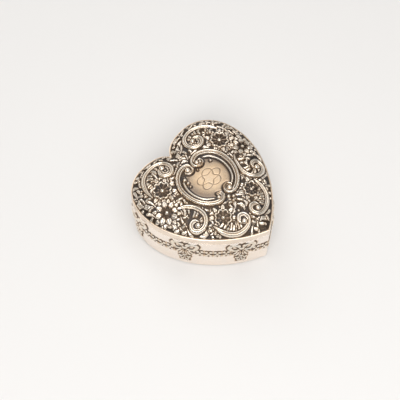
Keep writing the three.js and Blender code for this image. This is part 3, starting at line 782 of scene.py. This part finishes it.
def sterling_silver(name, gloss):
    """Sterling silver, polished by hand over a dark oxide that stays in the recesses."""
    material = bpy.data.materials.new(name)
    material.use_nodes = True
    tree = material.node_tree
    tree.nodes.clear()
    place = add_node(tree, "ShaderNodeTexCoord").outputs["Object"]
    # The tarnish attribute carries the oxide, and also painted shade on the wall and a painted
    # reflection on the panel.
    held = add_node(tree, "ShaderNodeAttribute", attribute_name="tarnish_and_painted_light").outputs["Fac"]
    # Clouds about 6 mm across, warm brown or slate grey in the dark, and grains of about 0.5 mm.
    cloud, grain = [
        add_node(
            tree, "ShaderNodeTexNoise",
            {"Vector": place, "Scale": scale, "Detail": detail, "Roughness": 0.6},
        ).outputs["Fac"]
        for scale, detail in ((170.0, 3.0), (1900.0, 2.0))
    ]
    uneven = add_node(
        tree, "ShaderNodeMath", {0: grain, 1: 0.5, 2: 0.75}, operation="MULTIPLY_ADD"
    ).outputs[0]
    amount = add_node(
        tree, "ShaderNodeMath", {0: held, 1: uneven}, operation="MULTIPLY", use_clamp=True
    ).outputs[0]
    brown = tone_ramp(tree, amount, BROWN_OXIDE)
    slate = tone_ramp(tree, amount, SLATE_OXIDE)
    grey = add_node(
        tree, "ShaderNodeMapRange", {"Value": cloud, "From Min": 0.42, "From Max": 0.58}
    ).outputs["Result"]
    toned = add_node(
        tree, "ShaderNodeMix", {"Factor": grey, 6: brown, 7: slate}, data_type="RGBA"
    )
    rough = add_node(
        tree, "ShaderNodeMapRange", {"Value": amount, "To Min": gloss, "To Max": OXIDE_ROUGHNESS}
    )
    bump = add_node(
        tree, "ShaderNodeBump", {"Height": grain, "Strength": 0.25, "Distance": GRAIN_DEPTH * MM}
    )
    shader = add_node(
        tree, "ShaderNodeBsdfPrincipled",
        {
            "Base Color": toned.outputs[2], "Metallic": 1.0, "Roughness": rough.outputs["Result"],
            "Normal": bump.outputs["Normal"],
        },
    )
    add_node(tree, "ShaderNodeOutputMaterial", {"Surface": shader.outputs["BSDF"]})
    return material


oxidised = sterling_silver("oxidised_chased_sterling_silver", 0.25)
lid_cover.data.materials.append(oxidised)
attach(lid_cover, "root")
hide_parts("lid")

# The base.
# The wall and floor are one raised sheet of sterling silver, plain and polished but for the chased
# ribbon bows and sprigs that hold up a garland. A bezel inside the rim takes the lid.

BOWS = 8
BOW_SPACING = 2 * HALF_LENGTH / BOWS
BOW_HEIGHT = 20.8
GARLAND_HEIGHT = 17.2
GARLAND_SAG = 1.8
WALL_RELIEF = 1.0
WALL_PITCH = 2 * HALF_LENGTH / (2 * RING_HALF)
RIM = SEAM - SEAM_GAP / 2
FOOT_ROUND = 1.3
FLOOR = 0.9
BEZEL_TOP = 29.4
BEZEL_FOOT = 24.0
BEZEL_INSET = 1.1
BEZEL = 0.8
BEZEL_EDGE = 0.2
BEZEL_SLOPE = 1.5
WALL_PLAIN = 0.15

# The wall unrolled: along it by the distance from the heart's point, and a little past the cleft.
PAST_CLEFT = 12
WALL_NET = (-HALF_LENGTH - PAST_CLEFT, HALF_LENGTH + PAST_CLEFT, 0, RIM, WALL_PITCH)
wall_sheet = Sheet(*WALL_NET)
bow_places = [(b + 0.5 - BOWS / 2) * BOW_SPACING for b in range(-1, BOWS + 1)]


def garland_height(arc):
    share = (arc / BOW_SPACING - 0.5) % 1.0
    return GARLAND_HEIGHT - GARLAND_SAG * 4 * share * (1 - share)


BOW_LOOP = [(0.3, 0.4), (2.2, 3.4), (4.9, 4.3), (6.7, 2.2), (5.7, -0.6), (3.0, -1.6), (0.6, -0.7)]
# The ribbon's tails on each side: how far they drop, and how far they reach and sway aside.
BOW_TAILS = [(9.0, 1.6, 0.7), (8.2, 2.9, 1.6), (6.0, 4.2, 2.4)]
RIBBON_WIDTH = 2.6
TAIL_WIDTH = 1.3
SPRIG_HEIGHT = 9.2
for arc in bow_places:
    for side in (-1, 1):
        for drop, reach, sway in BOW_TAILS:
            tail = [
                (arc + side * 0.3, BOW_HEIGHT - 0.6),
                (arc + side * (sway + 0.6), BOW_HEIGHT - drop * 0.35),
                (arc + side * sway, BOW_HEIGHT - drop * 0.65),
                (arc + side * reach, BOW_HEIGHT - drop),
            ]
            scroll(wall_sheet, tail, TAIL_WIDTH, WALL_RELIEF * 0.8, 0.6, 0.9, 0.0, 0.0, 0.35)
        lean = 90 - side * 70
        leaf(
            wall_sheet, arc + side * 3.5, BOW_HEIGHT + 1.3, lean, 6.8, 5.0, WALL_RELIEF, 0.0, 0.5, 0.5
        )
        loop = [(arc + side * x, BOW_HEIGHT + y) for x, y in BOW_LOOP]
        scroll(wall_sheet, loop, RIBBON_WIDTH, WALL_RELIEF, 0.6, 0.9, 0.0, 0.0, 0.5)
        lean = -90 + side * 24
        leaf(
            wall_sheet, arc + side * 1.5, 5.6, lean, 3.6, 1.9, WALL_RELIEF * 0.9, 0.1, 0.35, 0.4
        )
    for k in range(5):
        turn = math.radians(90 + 72 * k)
        bud_arc = arc + 2.1 * math.cos(turn)
        bud_height = SPRIG_HEIGHT + 2.4 * math.sin(turn)
        bead(wall_sheet, bud_arc, bud_height, 1.4, WALL_RELIEF, 0.4)
    bead(wall_sheet, arc, SPRIG_HEIGHT, 0.9, WALL_RELIEF, 0.35)
    bead(wall_sheet, arc, BOW_HEIGHT, 1.7, WALL_RELIEF * 1.05, 0.45)

# The flowers of the garland are a piece of their own. Small leaves stand between them.
FLOWERS_PER_SWAG = 4
FLOWER_PITCH = 4.7
FLOWER_RADIUS = 2.9
flower_arcs = []
for b in range(-1, BOWS + 1):
    for f in range(FLOWERS_PER_SWAG):
        arc = (b - BOWS / 2 + 1) * BOW_SPACING + (f - (FLOWERS_PER_SWAG - 1) / 2) * FLOWER_PITCH
        flower_arcs.append(arc)
        for lean in (-1, 1):
            between = arc + FLOWER_PITCH / 2
            z = garland_height(between) + lean * 1.8
            leaf(
                wall_sheet, between, z, 90 * lean, 2.4, 1.6, WALL_RELIEF * 0.6, 0.1, 0.2, 0.4
            )

# The ornament stops short of the narrow cleft, where its two sides would meet.
from_cleft = HALF_LENGTH - np.abs(wall_sheet.x)
clear = np.clip((from_cleft - 3.0) / 1.0, 0, 1)
wall_sheet.relief *= clear

# Oxide and painted shade darken the low wall round every form, oxide stays in the hollows, and a
# painted shadow darkens the wall round and under the flowers.
low_wall = 1 - np.clip((wall_sheet.relief - 0.1) / 0.5, 0, 1)
# Partly oxide and partly painted shade: a dark halo round every form on the low wall.
oxide_and_shade_near_form = np.clip((spread(wall_sheet.relief, 2.4) - 0.04) * 4.2, 0, 1)
wall_hollow = np.clip((spread(wall_sheet.relief, 2.0) - wall_sheet.relief) * 3.0, 0, 1)
# Painted shadow: a dark disc on the wall round and under each flower of the garland.
flower_shade = np.zeros_like(wall_sheet.relief)
for arc in flower_arcs:
    part = wall_sheet.window(arc - 5, arc + 5, 10, 24)
    up = (wall_sheet.y[part] - garland_height(arc)) / 1.25
    far = np.hypot(wall_sheet.x[part] - arc, up)
    shade = np.clip((FLOWER_RADIUS + 0.3 - far) / 0.7, 0, 0.7)
    flower_shade[part] = np.maximum(flower_shade[part], shade)
wall_tarnish_and_shade = Sheet(*WALL_NET)
on_low_wall = WALL_PLAIN * low_wall + 0.8 * low_wall * oxide_and_shade_near_form
wall_tarnish_and_shade.relief = np.clip(on_low_wall + 0.6 * wall_hollow, 0, 1)
# The flowers' painted shadow is laid over the wall's oxide.
wall_tarnish_and_shade.relief = np.maximum(wall_tarnish_and_shade.relief, flower_shade * low_wall * clear)

# The base's section from its underside up the wall, over the bezel and down inside to the floor:
# how far inside the outline, and how high. Where the first is None, the relief of the wall says it.
RELIEF_FROM = 5.0
RELIEF_TO = 25.6
ROW = 0.27
wall_rows = [RELIEF_FROM + ROW * k for k in range(int((RELIEF_TO - RELIEF_FROM) / ROW) + 1)]
FOOT_TURNS = (0.4, 0.8, 1.2)
outer_profile = [
    (FOOT_ROUND * (1 - math.sin(t)), FOOT_ROUND * (1 - math.cos(t)))
    for t in (0, *FOOT_TURNS, math.pi / 2)
]
outer_profile += [(0.0, z) for z in (2.0, 3.0, 4.0)]
outer_profile += [(None, z) for z in wall_rows]
outer_profile += [(0.0, 26.2), (0.0, RIM - 2 * SOFT), (0.0, RIM - SOFT), (SOFT, RIM)]
outer_profile += [(BEZEL_INSET, RIM), (BEZEL_INSET, BEZEL_TOP - BEZEL_EDGE)]
outer_profile += [(BEZEL_INSET + BEZEL_EDGE, BEZEL_TOP)]
outer_profile += [(BEZEL_INSET + BEZEL - BEZEL_EDGE, BEZEL_TOP)]
outer_profile += [(BEZEL_INSET + BEZEL, BEZEL_TOP - BEZEL_EDGE)]
outer_profile += [(BEZEL_INSET + BEZEL, BEZEL_FOOT + BEZEL_SLOPE)]
outer_profile += [(WALL, BEZEL_FOOT), (WALL, FLOOR + FOOT_ROUND)]
outer_profile += [
    (WALL + FOOT_ROUND * (1 - math.cos(t)), FLOOR + FOOT_ROUND * (1 - math.sin(t)))
    for t in FOOT_TURNS
]
outer_profile.append((WALL + FOOT_ROUND, FLOOR))

base_vertices = []
base_values = []
arcs_right = np.linspace(0.0, HALF_LENGTH, RING_HALF + 1)
for inset, z in outer_profile:
    if inset is None:
        right = wall_sheet.at(arcs_right, np.full_like(arcs_right, z))
        left = wall_sheet.at(-arcs_right, np.full_like(arcs_right, z))
        ring_right = heart_ring(-right, RING_HALF)[: RING_HALF + 1]
        ring_left = heart_ring(-left, RING_HALF)[: RING_HALF + 1] * [-1.0, 1.0]
        ring = np.vstack([ring_right, ring_left[1:-1][::-1]])
        shade_right = wall_tarnish_and_shade.at(arcs_right, np.full_like(arcs_right, z))
        shade_left = wall_tarnish_and_shade.at(-arcs_right, np.full_like(arcs_right, z))
        base_values += list(shade_right) + list(shade_left[1:-1][::-1])
    else:
        ring = heart_ring(inset, RING_HALF)
        base_values += [WALL_PLAIN] * len(ring)
    base_vertices += [(x, y, z) for x, y in ring]
base_faces = between_rings(len(outer_profile))

# The underside and the floor inside are flat.
FLAT_PITCH = 3.0
for row, z in ((0, 0.0), (len(outer_profile) - 1, FLOOR)):
    inset = outer_profile[row][0]
    rim = tidy_rim(heart_ring(inset, RING_HALF))
    net_x, net_y = np.meshgrid(np.arange(-36, 36, FLAT_PITCH), np.arange(-41, 33, FLAT_PITCH))
    kept = inside_heart(net_x, net_y) & (inset_of(net_x, net_y) > inset + 1.0)
    places, faces, _ = skin(rim, net_x[kept], net_y[kept])
    first = len(base_vertices)
    base_vertices += [(x, y, z) for x, y in places]
    base_values += [WALL_PLAIN] * len(places)
    base_faces += [tuple(first + i for i in face) for face in faces]
base_body = finished("base_body", base_vertices, base_faces, base_values)
polished = sterling_silver("polished_sterling_silver", 0.18)
base_body.data.materials.append(polished)
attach(base_body, "root")
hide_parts("box_base")

# The garland of the wall.
# Small four-petalled flowers of the same silver, which stand in a row between the bows. They were
# struck with one punch, so they are all alike.

spots = []
ways = []
for b in range(BOWS):
    middle_arc = (b - BOWS / 2 + 1) * BOW_SPACING
    for f in range(FLOWERS_PER_SWAG):
        arc = middle_arc + (f - (FLOWERS_PER_SWAG - 1) / 2) * FLOWER_PITCH
        if arc > HALF_LENGTH:
            arc -= 2 * HALF_LENGTH
        if HALF_LENGTH - abs(arc) < 4.0:
            continue
        side = 1.0 if arc >= 0 else -1.0
        place = right_place(np.array([abs(arc)]))[0] * [side, 1.0]
        way = right_outward(np.array([abs(arc)]))[0] * [side, 1.0]
        spots.append((place[0] * MM, (place[1] + FORWARD) * MM, (garland_height(arc)) * MM))
        ways.append((way[0], way[1], 0.0))

garland_mesh = bpy.data.meshes.new("garland_flowers")
garland_mesh.from_pydata(spots, [], [])
outward_layer = garland_mesh.attributes.new("outward", "FLOAT_VECTOR", "POINT")
for k, way in enumerate(ways):
    outward_layer.data[k].vector = way
garland = bpy.data.objects.new("garland_flowers", garland_mesh)
bpy.context.scene.collection.objects.link(garland)

# Shares of the flower's radius: how far out the petals stand, their own radius, and its eye's.
PETALS_OUT = 0.62
PETAL_SIZE = 0.36
EYE_SIZE = 0.28
EYE_LIFT = 0.35
PETALS = 4
# The flower is pressed narrower along the wall, drawn out up and down, and flattened to the wall.
PRESSED = (0.88, 1.5, 0.58)

tree = bpy.data.node_groups.new("struck_flowers", "GeometryNodeTree")
given_sockets = [
    tree.interface.new_socket(name, in_out="INPUT", socket_type=kind)
    for name, kind in (
        ("Geometry", "NodeSocketGeometry"), ("Flower radius", "NodeSocketFloat"),
        ("Petals", "NodeSocketInt"), ("Silver", "NodeSocketMaterial"),
    )
]
tree.interface.new_socket("Geometry", in_out="OUTPUT", socket_type="NodeSocketGeometry")
given = add_node(tree, "NodeGroupInput")
petals_out, petal_radius, eye_radius = [
    add_node(
        tree, "ShaderNodeMath", {0: given.outputs["Flower radius"], 1: share}, operation="MULTIPLY"
    ).outputs[0]
    for share in (PETALS_OUT, PETAL_SIZE, EYE_SIZE)
]
circle = add_node(
    tree, "GeometryNodeMeshCircle", {"Vertices": given.outputs["Petals"], "Radius": petals_out}
)
petal, eye = [
    add_node(tree, "GeometryNodeMeshUVSphere", {"Segments": 10, "Rings": 7, "Radius": radius})
    for radius in (petal_radius, eye_radius)
]
petals = add_node(
    tree, "GeometryNodeInstanceOnPoints",
    {"Points": circle.outputs[0], "Instance": petal.outputs["Mesh"]},
)
lifted = add_node(
    tree, "GeometryNodeTransform",
    {"Geometry": eye.outputs["Mesh"], "Translation": (0, 0, EYE_LIFT * MM)},
)
bloom = add_node(tree, "GeometryNodeJoinGeometry")
tree.links.new(petals.outputs[0], bloom.inputs[0])
tree.links.new(lifted.outputs[0], bloom.inputs[0])
turned = add_node(
    tree, "GeometryNodeTransform",
    {"Geometry": bloom.outputs[0], "Rotation": (0.0, 0.0, math.radians(45))},
)
pressed = add_node(
    tree, "GeometryNodeTransform", {"Geometry": turned.outputs[0], "Scale": PRESSED}
)
outward_value = add_node(
    tree, "GeometryNodeInputNamedAttribute", {"Name": "outward"}, data_type="FLOAT_VECTOR"
)
turned_out = add_node(
    tree, "FunctionNodeAlignRotationToVector",
    {"Vector": outward_value.outputs["Attribute"]}, axis="Z",
)
upright = add_node(
    tree, "FunctionNodeAlignRotationToVector",
    {"Rotation": turned_out.outputs[0], "Vector": (0.0, 0.0, 1.0)}, axis="Y", pivot_axis="Z",
)
row = add_node(
    tree, "GeometryNodeInstanceOnPoints",
    {
        "Points": given.outputs["Geometry"],
        "Instance": pressed.outputs[0],
        "Rotation": upright.outputs[0],
    },
)
real = add_node(tree, "GeometryNodeRealizeInstances", {"Geometry": row.outputs[0]})
even = add_node(tree, "GeometryNodeSetShadeSmooth", {0: real.outputs[0]})
cast = add_node(
    tree, "GeometryNodeSetMaterial",
    {"Geometry": even.outputs[0], "Material": given.outputs["Silver"]},
)
add_node(tree, "NodeGroupOutput", {"Geometry": cast.outputs[0]})

struck = garland.modifiers.new("struck_flowers", "NODES")
struck.node_group = tree
for socket, value in zip(given_sockets[1:], (FLOWER_RADIUS * MM, PETALS, polished)):
    struck[socket.identifier] = value
evaluated = garland.evaluated_get(bpy.context.evaluated_depsgraph_get())
flowers_mesh = bpy.data.meshes.new_from_object(evaluated)
garland.modifiers.remove(struck)
garland.data = flowers_mesh

# Oxide stays in the gaps between the petals, close to the wall.
each = len(flowers_mesh.vertices) // len(spots)
places = np.array([v.co[:] for v in flowers_mesh.vertices]).reshape(len(spots), each, 3)
from_spots = places - np.array(spots)[:, None, :]
stands = np.einsum("fvc,fc->fv", from_spots, np.array(ways)) / MM
shade = np.clip(0.85 - (stands - 0.12) / 0.4, 0, 1).reshape(-1)
petal_tarnish = flowers_mesh.attributes.new("tarnish_and_painted_light", "FLOAT", "POINT")
petal_tarnish.data.foreach_set("value", shade.astype(np.float32))
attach(garland, "root")
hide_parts("box_base")

# The floor, the light and the camera.
# A pale seamless table in a light tent, with four soft lamps. The tent's open front is dark, and
# it shows in the slopes of the relief.

FLOOR_SIDE = 4.0
table_mesh = bpy.data.meshes.new("table_top")
corners = [(x * FLOOR_SIDE, y * FLOOR_SIDE, 0) for x, y in ((-1, -1), (1, -1), (1, 1), (-1, 1))]
table_mesh.from_pydata(corners, [], [(0, 1, 2, 3)])
table_top = bpy.data.objects.new("table_top", table_mesh)
bpy.context.scene.collection.objects.link(table_top)
paper = bpy.data.materials.new("pale_matt_paper")
paper.use_nodes = True
paper_tree = paper.node_tree
paper_tree.nodes.clear()
sheet_shader = add_node(
    paper_tree, "ShaderNodeBsdfPrincipled", {"Base Color": linear("E8E7E6"), "Roughness": 0.9}
)
add_node(paper_tree, "ShaderNodeOutputMaterial", {"Surface": sheet_shader.outputs["BSDF"]})
table_mesh.materials.append(paper)

world = bpy.data.worlds.new("light_tent")
bpy.context.scene.world = world
world.use_nodes = True
world_tree = world.node_tree
world_tree.nodes.clear()
# The way to the tent's open front, its brightness all round and there, and the backdrop's.
OPEN_FRONT = (-0.78, -0.62, -0.25)
TENT = 0.5
ROOM = 0.07
BACKDROP = 0.9
direction = add_node(world_tree, "ShaderNodeTexCoord").outputs["Generated"]
towards_room = add_node(
    world_tree, "ShaderNodeVectorMath", {0: direction, 1: OPEN_FRONT}, operation="DOT_PRODUCT"
).outputs["Value"]
brightness = add_node(
    world_tree, "ShaderNodeMapRange",
    {"Value": towards_room, "From Min": 0.0, "From Max": 0.75, "To Min": TENT, "To Max": ROOM},
)
seen = add_node(world_tree, "ShaderNodeLightPath").outputs["Is Camera Ray"]
tent = add_node(
    world_tree, "ShaderNodeBackground",
    {"Color": linear("FDFBF8"), "Strength": brightness.outputs["Result"]},
)
backdrop = add_node(
    world_tree, "ShaderNodeBackground", {"Color": linear("F3EFEC"), "Strength": BACKDROP}
)
both = add_node(
    world_tree, "ShaderNodeMixShader",
    {0: seen, 1: tent.outputs["Background"], 2: backdrop.outputs["Background"]},
)
add_node(world_tree, "ShaderNodeOutputWorld", {"Surface": both.outputs["Shader"]})

# Each lamp by its place, the side of its square in metres, and its power in watts.
LAMP_AIM = Vector((0, 0, 0.02))
LAMPS = [
    ("key_lamp", (-0.68, -0.36, 0.8), 0.45, 4.0),
    ("front_lamp", (-0.25, -0.75, 0.8), 0.6, 2.6),
    ("top_lamp", (0.0, -0.05, 1.0), 0.9, 3.8),
    ("back_lamp", (0.3, 0.88, 0.85), 0.7, 2.0),
]
for name, place, side, power in LAMPS:
    lamp = bpy.data.lights.new(name, "AREA")
    lamp.shape = "SQUARE"
    lamp.size = side
    lamp.energy = power
    lamp.color = (1.0, 0.99, 0.98)
    hung = bpy.data.objects.new(name, lamp)
    hung.location = place
    hung.rotation_euler = (LAMP_AIM - Vector(place)).to_track_quat("-Z", "Y").to_euler()
    bpy.context.scene.collection.objects.link(hung)

# The camera stands where the photograph was taken from: high above the heart's left side.
CAMERA_PLACE = (-0.1847, -0.1478, 0.4600)
CAMERA_AIM = (0.00283, 0.01238, 0.0)
LENS = 82.41
camera = bpy.data.cameras.new("camera")
camera.lens = LENS
camera.sensor_width = 36.0
camera.clip_start = 0.01
camera_object = bpy.data.objects.new("camera", camera)
camera_object.location = CAMERA_PLACE
aim = Vector(CAMERA_AIM) - Vector(CAMERA_PLACE)
camera_object.rotation_euler = aim.to_track_quat("-Z", "Y").to_euler()
bpy.context.scene.collection.objects.link(camera_object)
bpy.context.scene.camera = camera_object
bpy.context.scene.view_settings.view_transform = "Standard"
